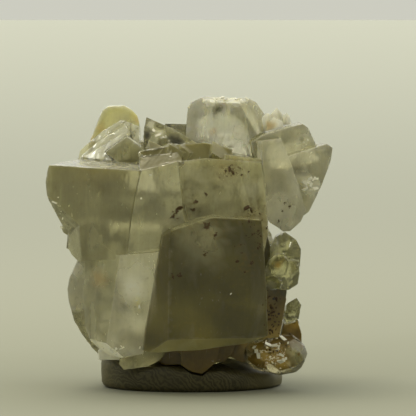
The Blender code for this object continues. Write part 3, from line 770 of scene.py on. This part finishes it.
def bits(name, spots, flatness, cleaved, chance, sunk):
    """A mesh of small bits, each at a spot: a place, a facing, and a size in mm.

    flatness  half a bit's thickness, as a share of its size
    cleaved   makes square-edged plates instead of ragged grains
    sunk      how far a bit sits in the face, as a share of its size
    """
    most_lean = 0.6
    full_turn = 6.3
    raggedness = 0.8
    bm = bmesh.new()
    for place, facing, size in spots:
        if place is None:
            continue
        turn = facing.to_track_quat("Z", "Y").to_matrix().to_4x4()
        tilt = Matrix.Rotation(chance.uniform(-most_lean, most_lean), 4, "X")
        spin = Matrix.Rotation(chance.uniform(0, full_turn), 4, "Z")
        lean = tilt @ spin
        if cleaved:
            made = bmesh.ops.create_cube(bm, size=1.7)["verts"]
        else:
            made = bmesh.ops.create_icosphere(bm, subdivisions=1, radius=1.0)["verts"]
        half_length = chance.uniform(0.35, 0.75)
        half_width = chance.uniform(0.18, 0.42)
        shape = Vector((half_length, half_width, flatness)) * size * MM
        for vert in made:
            ragged = 1 + raggedness * noise.noise(vert.co * 1.7 + place * 900)
            local = Vector([c * s * ragged for c, s in zip(vert.co, shape)])
            stands = place + facing * (flatness - sunk) * size * MM + turn @ lean @ local
            # a bit that would stick out of the whole object's box is worn flat there
            vert.co = [min(max(value, low), high) for value, low, high in zip(stands, *cad_box)]
    for face in bm.faces:
        face.smooth = False
    return show(name, mesh_from(name, bm))


chance = random.Random(23)
on_cluster = front_surface(cluster)
on_nodule = front_surface(bpy.data.objects["glassy_nodule"])

# the larger grains: x, z and size in mm
grain_spots = [
    # on the face above the dark block
    (-4.2, 45.3, 1.5), (-3.3, 46.6, 1.6), (-2.4, 47.6, 1.3), (1.1, 46.9, 1.2),
    (1.7, 48.9, 1.1), (4.2, 50.9, 1.0), (10.2, 57.2, 1.3), (11, 56.4, 1.0),
    (14.6, 47.4, 1.4), (15.6, 46.9, 1.1), (15.1, 44.5, 0.9), (17.4, 42, 0.6),
    # on the dark block
    (4.7, 43.1, 1.7), (6.5, 40.9, 1.1), (3.9, 36.1, 1.0), (-4.1, 30.4, 0.9), (-2.3, 30.5, 1.1),
    (12.1, 34.3, 1.1), (15.6, 33.8, 0.9), (14, 31.5, 0.5), (13.2, 36.4, 0.5),
    # on the stained side of the block and beside it, and on the leaning crystal at the right
    (17.9, 38.6, 0.7), (21.1, 21.6, 1.1), (21.3, 20.3, 1.3), (22.3, 23.5, 0.8), (20.4, 18.7, 0.9),
    (21.8, 17.9, 0.7), (24.4, 48.4, 0.7), (25.6, 47.4, 0.8), (23.8, 46.2, 0.6), (22.8, 43.8, 0.7),
]
# each of them has smaller ones round it
for x, z, size in list(grain_spots):
    spread = 0.35 * size
    for _ in range(5):
        grain_spots.append((chance.gauss(x, spread), chance.gauss(z, spread), 0.45 * size))
# swarms of fine grains: how many, the middle and spread in x, then in z, and the smallest and largest
for count, x, wide, z, high, smallest, largest in [
    (34, 16.5, 1.8, 42.5, 3.2, 0.25, 0.6),
    (40, 20.8, 1.2, 20.5, 3.4, 0.3, 0.9),
    (14, 12, 3, 56.5, 1.6, 0.25, 0.6),
]:
    for _ in range(count):
        place_x = chance.gauss(x, wide)
        place_z = chance.gauss(z, high)
        grain_spots.append((place_x, place_z, chance.uniform(smallest, largest)))
iron_spots = [(*on_cluster(x, z), size) for x, z, size in grain_spots]
for x, z, size in [
    (22.3, 10.7, 0.9), (20.6, 10.8, 0.8), (23.5, 12.6, 0.8), (24.7, 12.0, 0.7), (19.6, 11.0, 0.6),
    (21.4, 10.5, 0.6), (23.0, 10.4, 0.6), (25.8, 14.6, 0.7), (18.3, 13.2, 0.6),
]:
    iron_spots.append((*on_nodule(x, z), size))
iron_mesh = bits("iron_grains", iron_spots, flatness=0.22, cleaved=False, chance=chance, sunk=0.12)

# iron oxide: dull, rough and dark brown, so it looks like rust and doesn't shine
iron_grains, tree = new_material("brown_iron_grains")
place = add(tree, "TexCoord").outputs["Object"]
crumbs = add(tree, "TexNoise", {"Vector": place, "Scale": 2.5 / MM, "Detail": 2.0})
body = add(tree, "Mix", {
    "Factor": crumbs.outputs["Fac"], "A": linear("#2a1c08"), "B": linear("#5c431c"),
}, data_type="RGBA")
surface = add(tree, "BsdfPrincipled", {"Base Color": body.outputs["Result"], "Roughness": 0.6})
add(tree, "OutputMaterial", {"Surface": surface.outputs[0]})
iron_mesh.data.materials.append(iron_grains)
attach(iron_mesh, "root")

# gold-brown crumbs, 0.3 to 0.85 mm across, thickest in the middle of the nodule
crumb_spots = []
for _ in range(110):
    x = chance.gauss(21.2, 2.0)
    z = chance.gauss(9.6, 1.7)
    crumb_spots.append((*on_nodule(x, z), chance.uniform(0.3, 0.85)))
crumbs_mesh = bits("gold_brown_crumbs", crumb_spots, flatness=0.25, cleaved=False, chance=chance, sunk=0.1)

# crumbs of stained calcite: gold-brown to nearly white from one to the next, and shiny where broken
crumb_material, tree = new_material("gold_brown_crumbs")
place = add(tree, "TexCoord").outputs["Object"]
mottle = add(tree, "TexNoise", {"Vector": place, "Scale": 1.3 / MM, "Detail": 1.0})
spread = add(tree, "MapRange", {"Value": mottle.outputs["Fac"], "From Min": 0.35, "From Max": 0.65})
body = add(tree, "Mix", {
    "Factor": spread.outputs[0], "A": linear("#a58436"), "B": linear("#fffae2"),
}, data_type="RGBA")
surface = add(tree, "BsdfPrincipled", {
    "Base Color": body.outputs["Result"],
    "Roughness": 0.3,
    "Coat Weight": 0.5,
    "Coat Roughness": 0.1,
})
add(tree, "OutputMaterial", {"Surface": surface.outputs[0]})
crumbs_mesh.data.materials.append(crumb_material)
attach(crumbs_mesh, "root")

# white flakes: x, z and size in mm, first on the nodule
flake_spots = []
for x, z, size in [
    (20.1, 12.1, 1.6), (19.8, 12.5, 1.0), (21.7, 11.9, 1.9), (22.7, 11.4, 1.3), (23.9, 13.6, 1.6),
    (23.4, 8.2, 2.3), (23.5, 9.7, 1.2), (24.3, 8.7, 1.3), (22.9, 8.0, 1.2), (16.7, 11.6, 1.2),
    (17.1, 10.6, 1.3), (17.6, 9.4, 1.2), (25.2, 12.6, 0.8),
]:
    flake_spots.append((*on_nodule(x, z), size))
# here and there on the cluster, on its wedge and on its bright front face
for x, z, size in [
    (-10, 55.9, 0.6), (-12.3, 49.9, 0.6), (-12.6, 11.9, 0.8), (10.5, 26, 0.5), (-34.4, 48.9, 1.0),
    (-8.3, 65.2, 1.3), (-7.2, 64.6, 1.0), (-9.4, 66.4, 0.9), (-6.2, 64.9, 0.8), (-5.4, 63.8, 0.6),
    (-13.4, 24.0, 0.6), (-12.8, 22.4, 0.8), (-14.8, 26.5, 0.5), (-13.2, 20.4, 0.5),
]:
    flake_spots.append((*on_cluster(x, z), size))
# knocked places, whose white flakes also stand for glints: the middle's x and z, the spread in each, how
# many flakes, and the largest
for x, z, wide, high, count, largest in [
    (30.4, 53, 1.1, 1.3, 26, 1.2), (29, 63.4, 1.2, 0.8, 8, 0.8), (-33.3, 46, 0.8, 1.6, 7, 1.0),
    (-19.6, 11.4, 1.4, 0.8, 12, 0.9), (-6, 60.4, 3.5, 0.5, 5, 0.6), (22.5, 46, 3, 2, 6, 0.5),
]:
    for _ in range(count):
        spot = on_cluster(chance.gauss(x, wide), chance.gauss(z, high))
        flake_spots.append((*spot, chance.uniform(0.3, largest)))
# along the front edge of the stout pale crystal's flat end
on_pale = front_surface(pale_top)
for _ in range(34):
    spot = on_pale(chance.uniform(3.5, 15), chance.gauss(74.4, 0.6))
    flake_spots.append((*spot, chance.uniform(0.4, 1.1)))
flakes = bits("cleavage_flakes", flake_spots, flatness=0.12, cleaved=True, chance=chance, sunk=0.02)

# calcite split along its cleavage: a white body, partly painted highlight, with a glassy face, so a flake
# flashes where light falls
flake_material, tree = new_material("white_cleavage_flakes_painted_glints")
place = add(tree, "TexCoord").outputs["Object"]
frost = add(tree, "TexNoise", {"Vector": place, "Scale": 1.8 / MM, "Detail": 2.0})
body = add(tree, "Mix", {
    "Factor": frost.outputs["Fac"], "A": linear("#dedcca"), "B": linear("#fdfcf6"),
}, data_type="RGBA")
surface = add(tree, "BsdfPrincipled", {
    "Base Color": body.outputs["Result"],
    "Roughness": 0.12,
    "IOR": 1.6,
    "Coat Weight": 1.0,
    "Coat Roughness": 0.03,
})
add(tree, "OutputMaterial", {"Surface": surface.outputs[0]})
flakes.data.materials.append(flake_material)
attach(flakes, "root")


# The display putty
# A soft dark grey reusable putty, rolled in the fingers and pressed down, so it has bulging sides with
# folds. The crystals were pushed into it from above, and its flat foot carries the whole specimen.

# kneaded putty: matt and dark grey, marbled by its folds, and with painted light that makes its ends paler
putty_material, tree = new_material("grey_putty_pressed")
place = add(tree, "TexCoord").outputs["Object"]
# folds about 0.9 mm apart, and kneading marks of about 8 mm
folds = add(tree, "TexWave", {
    "Vector": place,
    "Scale": 0.42 / MM,
    "Distortion": 22.0,
    "Detail": 5.0,
    "Detail Scale": 0.6,
}, bands_direction="DIAGONAL")
kneading = add(tree, "TexNoise", {"Vector": place, "Scale": 0.13 / MM, "Detail": 5.0})
mixed = add(tree, "Math", {0: folds.outputs["Fac"], 1: kneading.outputs["Fac"]}, operation="MULTIPLY")
# painted light: the ends, more than 14 mm from the middle, are painted paler, as if more light falls on
# them
parts = add(tree, "SeparateXYZ", {0: place})
along = add(tree, "Math", {0: parts.outputs["X"], 1: 2 * MM}, operation="ADD")
off_middle = add(tree, "Math", {0: along.outputs[0]}, operation="ABSOLUTE")
painted_light_ends = add(tree, "MapRange", {
    "Value": off_middle.outputs[0], "From Min": 14 * MM, "From Max": 23 * MM, "To Max": 1.0,
}, interpolation_type="SMOOTHSTEP")
paler = add(tree, "Math", {0: mixed.outputs[0], 1: painted_light_ends.outputs[0]}, operation="ADD")
body = add(tree, "Mix", {
    "Factor": paler.outputs[0], "A": linear("#2c2810"), "B": linear("#5c5738"),
}, data_type="RGBA")
relief = add(tree, "Bump", {"Height": folds.outputs["Fac"], "Strength": 0.15, "Distance": 0.1 * MM})
surface = add(tree, "BsdfPrincipled", {
    "Base Color": body.outputs["Result"],
    "Roughness": 0.6,
    "Normal": relief.outputs[0],
})
add(tree, "OutputMaterial", {"Surface": surface.outputs[0]})

# its sides have dents about 4 mm long and up to 0.24 mm deep, and its foot stays flat
dent_steps = 260
mean_dent = 0.12
foot = 0.1 * MM
bm = bmesh.new()
bm.from_mesh(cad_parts["mounting_putty"].data)
bmesh.ops.remove_doubles(bm, verts=bm.verts[:], dist=weld_distance)
refine(bm, 1.2 * MM)
bm.normal_update()
for vert in bm.verts:
    if vert.co.z > foot:
        dent = mean_dent + mean_dent * noise.noise(vert.co * dent_steps)
        vert.co = vert.co - vert.normal * MM * dent
bm.normal_update()
smooth_up_to = math.radians(40)
for face in bm.faces:
    face.smooth = True
for e in bm.edges:
    e.smooth = e.is_manifold and e.calc_face_angle() < smooth_up_to
putty = show("display_putty", mesh_from("display_putty", bm))
place_piece(putty, "mounting_putty", putty_material)
